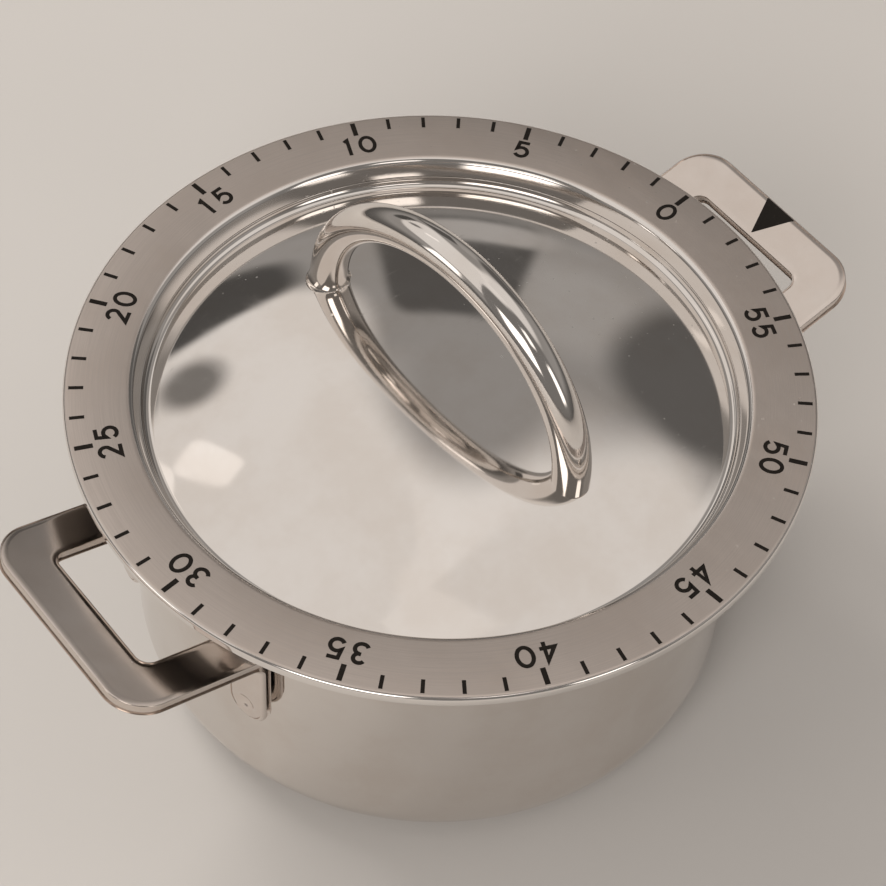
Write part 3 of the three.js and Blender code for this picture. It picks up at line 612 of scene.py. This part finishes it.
pad_corners = [(PAD_IN, 0.02, 0.25), (PAD_IN, PAD_TOP, 0.2), (PAD_OUT, PAD_TOP, 0.2), (PAD_OUT, 0.02, 0.3)]
GROOVES, GROOVE_DEPTH, GROOVE_HALF, GROOVE_FLOOR_HALF = (18.2, 16.9, 15.6, 14.3), 0.35, 0.3, 0.18
for groove in GROOVES:
    pad_corners += [
        (groove + GROOVE_HALF, 0.0, 0.08), (groove + GROOVE_FLOOR_HALF, GROOVE_DEPTH, 0.08),
        (groove - GROOVE_FLOOR_HALF, GROOVE_DEPTH, 0.08), (groove - GROOVE_HALF, 0.0, 0.08),
    ]
pad = lathe(rounded(pad_corners, step=24), 160)
piece("rubber_ring", *pad, "case", "black_rubber", "rubber", ["base_pad"])

# ---------------------------------------------------------------- handles

# H_ is the loop's outer outline and sheet, W_ the window in it.
H_X, H_Z, H_SLOPE, H_SHEET = 44.2, 32.45, math.radians(15), 1.35
H_HALF, H_CORNER, W_X, W_HALF, W_CORNER = 12.05, 4.0, 39.65, 7.5, 1.3
OFFSET, TAB_FACE, TAB_CURVE, TAB_FOOT, BEND = 0.35, 29.35, 53.0, 17.7, 2.2
EDGE, TAB_EDGE = 0.16, 0.42       # rounding of the sheet's edges
DENT_DEPTH, DENT_R = 0.42, 1.05   # dimple of a spot weld
TUCK = 4.0                        # length of loop over which the sheet eases into the tabs' curve
WINDOW = (H_X - W_X) / math.cos(H_SLOPE)
TAB_MID, TAB_HALF = (H_HALF + W_HALF) / 2, (H_HALF - W_HALF) / 2
BEND_SWEEP = math.pi / 2 - H_SLOPE
BEND_REACH = BEND * math.tan(BEND_SWEEP / 2)
BEND_LENGTH = BEND * BEND_SWEEP


def smooth(value, low, high):
    t = min(1.0, max(0.0, (value - low) / (high - low)))
    return t * t * (3 - 2 * t)


def tab_x(y):
    """Where the inner face of a tab lies: the tabs are bent a little less than the wall."""
    reach = min(abs(y), H_HALF + 1)
    return TAB_FACE - math.sqrt(TAB_CURVE ** 2 - W_HALF ** 2) + math.sqrt(TAB_CURVE ** 2 - reach ** 2)


class Sheet:
    """The folded plate's upper face: s runs from the outer edge in, round the bend and down the tab."""

    def __init__(self, offset):
        self.outer = H_X + offset
        run = self.outer - tab_x(TAB_MID)
        self.flat = run / math.cos(H_SLOPE) - BEND_REACH
        self.tab_top = H_Z - run * math.tan(H_SLOPE) - BEND_REACH
        self.down = self.flat + BEND_LENGTH
        self.foot = self.down + self.tab_top - TAB_FOOT - TAB_HALF

    def point(self, s, y):
        if s <= self.flat:
            x, z = self.outer - s * math.cos(H_SLOPE), H_Z - s * math.sin(H_SLOPE)
        elif s <= self.down:
            turn = math.pi / 2 + H_SLOPE + (s - self.flat) / BEND
            x = tab_x(TAB_MID) + BEND + BEND * math.cos(turn)
            z = self.tab_top + BEND * math.sin(turn)
        else:
            x, z = tab_x(TAB_MID), self.tab_top - (s - self.down)
        shift = (tab_x(y) - tab_x(TAB_MID)) * smooth(s, self.flat - TUCK, self.flat)
        return Vector((x + shift, y, z + shift * math.tan(H_SLOPE)))

    def lifted(self, s, y, lift):
        e = 0.02
        across = self.point(s, y + e) - self.point(s, y - e)
        along = self.point(s + e, y) - self.point(s - e, y)
        return self.point(s, y) + across.cross(along).normalized() * lift

    def edge(self, s):
        return EDGE + (TAB_EDGE - EDGE) * smooth(s, self.flat, self.down)

    def dent(self, s, y):
        """The dimple that the welding electrode leaves."""
        reach = math.hypot(s - self.foot, abs(y) - TAB_MID) / DENT_R
        return DENT_DEPTH * math.exp(-(1.25 * reach) ** 4)


TAB_STEPS, ARM_STEPS, CORNER_STEPS, SIDE_STEPS = 16, 64, 24, 12


def half_loop(foot):
    """Pairs of outline points, each with its inward direction, from one foot to the middle of the loop."""
    pairs = []
    for k in range(TAB_STEPS + 1):
        c, q = math.cos(math.pi / 2 * k / TAB_STEPS), math.sin(math.pi / 2 * k / TAB_STEPS)
        pairs.append(((foot + TAB_HALF * c, TAB_MID + TAB_HALF * q), (-c, -q),
                      (foot + TAB_HALF * c, TAB_MID - TAB_HALF * q), (-c, q)))
    stop = WINDOW + W_CORNER
    for k in range(1, ARM_STEPS + 1):
        s = foot + (stop - foot) * k / ARM_STEPS
        pairs.append(((s, H_HALF), (0, -1), (s, W_HALF), (0, 1)))
    straight, outer_arc = stop - H_CORNER, H_CORNER * math.pi / 2
    for k in range(1, CORNER_STEPS + 1):
        share = k / CORNER_STEPS
        travelled = share * (straight + outer_arc)
        if travelled < straight:
            outer, outer_in = (stop - travelled, H_HALF), (0, -1)
        else:
            a = (travelled - straight) / H_CORNER
            outer = (H_CORNER - H_CORNER * math.sin(a), H_HALF - H_CORNER + H_CORNER * math.cos(a))
            outer_in = (math.sin(a), -math.cos(a))
        a = share * math.pi / 2
        inner = (stop - W_CORNER * math.sin(a), W_HALF - W_CORNER + W_CORNER * math.cos(a))
        pairs.append((outer, outer_in, inner, (-math.sin(a), math.cos(a))))
    for k in range(1, SIDE_STEPS + 1):
        share = 1 - k / SIDE_STEPS
        outer, inner = (0, (H_HALF - H_CORNER) * share), (WINDOW, (W_HALF - W_CORNER) * share)
        pairs.append((outer, (1, 0), inner, (-1, 0)))
    return pairs


def mirrored(pair):
    return tuple((x, -y) for x, y in pair)


def at(corner, inward, inset):
    return corner[0] + inward[0] * inset, corner[1] + inward[1] * inset


ACROSS, EDGE_STEPS = 16, 5


def handle(name, node, degrees, offset):
    """The folded loop: one closed ring of points round the sheet at each pair of outline points."""
    sheet = Sheet(offset)
    half = half_loop(sheet.foot)
    pairs = half + [mirrored(pair) for pair in reversed(half[:-1])]
    turn = [math.pi / 2 * k / EDGE_STEPS for k in range(EDGE_STEPS + 1)]
    points, faces = [], []
    for outer, outer_in, inner, inner_in in pairs:
        rim = sheet.edge(outer[0])
        edge = [(rim - rim * math.sin(a), rim - rim * math.cos(a)) for a in turn]
        near, far = at(outer, outer_in, rim), at(inner, inner_in, rim)
        flat = [(near[0] + (far[0] - near[0]) * n / ACROSS, near[1] + (far[1] - near[1]) * n / ACROSS)
                for n in range(1, ACROSS)]
        loop = [(*at(outer, outer_in, inset), depth - H_SHEET) for inset, depth in reversed(edge)]
        loop += [(*at(outer, outer_in, inset), -depth) for inset, depth in edge]
        loop += [(s, y, 0.0) for s, y in flat]
        loop += [(*at(inner, inner_in, inset), -depth) for inset, depth in reversed(edge)]
        loop += [(*at(inner, inner_in, inset), depth - H_SHEET) for inset, depth in edge]
        loop += [(s, y, sheet.dent(s, y) - H_SHEET) for s, y in reversed(flat)]
        points += [sheet.lifted(s, y, lift) for s, y, lift in loop]
    size = len(points) // len(pairs)
    for k in range(len(pairs) - 1):
        for n in range(size):
            m = (n + 1) % size
            faces.append((k * size + n, k * size + m, (k + 1) * size + m, (k + 1) * size + n))
    points = turned(points, degrees)
    piece(name, points, faces, "case", "polished_steel", "handle", [node], sharp=60, weld=0.0005)


handle("index_loop", "index_handle", 0, OFFSET)
handle("plain_loop", "plain_handle", 180, -OFFSET)

# The index triangle is printed on the loop, from its edge to near the window.
tri_base, tri_apex, tri_half = EDGE + 0.01, WINDOW - 0.42, 2.0
tri_corners = [(tri_base, -tri_half, 0.08), (tri_base, tri_half, 0.08), (tri_apex, 0.0, 0.05)]
triangle = rounded(tri_corners, step=30)
INK_BELOW, INK_ABOVE = -0.05, 0.02
points = []
for lift in (INK_BELOW, INK_ABOVE):
    points += [Sheet(OFFSET).lifted(s, y, lift) for s, y in triangle]
count = len(triangle)
faces = [tuple(range(count)), tuple(range(count, 2 * count))]
faces += [(k, (k + 1) % count, count + (k + 1) % count, count + k) for k in range(count)]
piece("index_triangle", points, faces, "case", "polished_steel", "ink")

# ---------------------------------------------------------------- studio


FLOOR_HALF = 3.0                  # metres


def plain(name, color, rough):
    s = Shader(name, Roughness=rough)
    cloud = s.ramp(s.noise(s.place(), 0.01, 4.0), 0.3, 0.7)
    s.set("Base Color", s.mix(cloud, (*color, 1), darker(color, (0.97, 0.97, 0.97))))
    return s.material


floor_corners = [(x * FLOOR_HALF, y * FLOOR_HALF, 0) for x, y in ((-1, -1), (1, -1), (1, 1), (-1, 1))]
floor_mesh = bpy.data.meshes.new("floor")
floor_mesh.from_pydata(floor_corners, [], [(0, 1, 2, 3)])
floor_mesh.materials.append(plain("pale_floor", (0.53, 0.505, 0.48), 0.75))
floor = bpy.data.objects.new("floor", floor_mesh)
bpy.context.scene.collection.objects.link(floor)


def soft_light(name, place, width, height, power, color):
    """An area light aimed at the middle of the part, hidden from reflections."""
    data = bpy.data.lights.new(name, "AREA")
    data.shape = "RECTANGLE"
    data.size, data.size_y = width, height
    data.energy = power
    data.color = color
    light = bpy.data.objects.new(name, data)
    light.location = place
    light.rotation_euler = (AIM - Vector(place)).to_track_quat("-Z", "Y").to_euler()
    light.visible_camera = False
    light.visible_glossy = False
    bpy.context.scene.collection.objects.link(light)


AIM = Vector((0, 0, 0.02))
soft_light("key", (-0.15, 0.75, 0.75), 0.5, 0.35, 6.0, (1.0, 0.97, 0.93))
soft_light("fill", (-0.7, -0.35, 0.55), 0.5, 0.5, 4.0, (1.0, 0.98, 0.96))

bpy.context.scene.view_settings.view_transform = "Standard"

world = bpy.data.worlds.new("studio")
bpy.context.scene.world = world
world.use_nodes = True
sky = Nodes(world.node_tree)
direction = sky.add("ShaderNodeTexCoord", out=0)
east = sky.add("ShaderNodeSeparateXYZ", {0: direction}, out=0)
north = east.node.outputs[1]
height = east.node.outputs[2]

# The walls are darker than the ceiling: (sine of the elevation, brightness).
LEVELS = [(0.0, 0.10), (0.12, 0.15), (0.28, 0.33), (0.71, 0.30), (0.89, 0.80), (1.0, 0.88)]
shade = sky.nodes.new("ShaderNodeValToRGB")
sky.links.new(height, shade.inputs[0])
WARMTH = (1.0, 0.945, 0.895)


def warm(level):
    return tuple(level * c for c in WARMTH) + (1,)


for k, (sine, level) in enumerate(LEVELS):
    stop = shade.color_ramp.elements[k] if k < 2 else shade.color_ramp.elements.new(sine)
    stop.position = sine
    stop.color = warm(level)
light_seen = shade.outputs[0]

# Soft boxes and dark flags round the studio. They are set so that the lid shows light and dark
# patches where it does in the photograph, from the photograph's angle. In degrees:
# azimuth, elevation, half width, half height, squareness, softness of the edge, brightness.
PANELS = [
    (-125, 36, 60, 36, 5, 0.12, 0.20),
    (123, 56, 61, 29, 8, 0.05, 0.81),
    (-28, 66, 36, 24, 6, 0.2, 0.79),
    (41, 55, 21, 15, 2.5, 0.4, 0.31),
    (-150, 28, 16, 12, 6, 0.2, 2.8),
    (-108, 50, 9, 6, 6, 0.2, 1.6),
    (158, 14, 8, 9, 6, 0.2, 1.8),
    (-85, 22, 8, 12, 6, 0.2, 1.8),
    (104, 49, 4.5, 5, 5, 0.1, 1.1),
    (80, 24, 12, 5, 3, 0.2, 0.08),
    (32, 31, 9, 10, 3, 0.4, 0.38),
    (49, 26, 9, 13, 6, 0.1, 0.10),
    (47, 17, 8, 3, 3, 0.3, 0.42),
    (91, 36, 5.5, 4.5, 2, 0.4, 0.22),
    (11, 28, 14, 15, 2.6, 0.2, 0.12),
]
azimuth_seen = sky.math("DEGREES", sky.math("ARCTAN2", north, east))
elevation_seen = sky.math("DEGREES", sky.math("ARCSINE", height))


def share_out(seen, middle, half):
    """How far out of a panel's middle a direction is, with 1 at its edge."""
    return sky.math("DIVIDE", sky.math("ABSOLUTE", sky.math("SUBTRACT", seen, middle)), half)


for azimuth, elevation, wide, high, square, edge, level in PANELS:
    aside = share_out(azimuth_seen, azimuth, wide)
    above = share_out(elevation_seen, elevation, high)
    total = sky.math("ADD", sky.math("POWER", aside, square), sky.math("POWER", above, square))
    off = sky.math("POWER", total, 1 / square)
    inside = sky.math("SUBTRACT", 1.0, sky.ramp(off, 1 - edge, 1 + edge))
    light_seen = sky.mix(inside, light_seen, warm(level))
sky.links.new(light_seen, sky.nodes["Background"].inputs[0])
sky.nodes["Background"].inputs[1].default_value = 1.0

# ---------------------------------------------------------------- camera at the photograph's angle

CAMERA_PLACE = (-0.10480, -0.12341, 0.23088)
CAMERA_AZIMUTH, CAMERA_ELEVATION, CAMERA_ROLL = -130.500, 51.617, 3.581     # degrees
CAMERA_LENS, CAMERA_SENSOR = 107.91, 36.0

camera_data = bpy.data.cameras.new("camera")
camera_data.lens = CAMERA_LENS
camera_data.sensor_width = CAMERA_SENSOR
camera_data.clip_start = 0.01
camera = bpy.data.objects.new("camera", camera_data)
facing = Matrix.Rotation(math.radians(90 + CAMERA_AZIMUTH), 4, "Z")
tilt = Matrix.Rotation(math.radians(90 - CAMERA_ELEVATION), 4, "X")
roll = Matrix.Rotation(math.radians(CAMERA_ROLL), 4, "Z")
camera.matrix_world = Matrix.Translation(CAMERA_PLACE) @ facing @ tilt @ roll
bpy.context.scene.collection.objects.link(camera)
bpy.context.scene.camera = camera
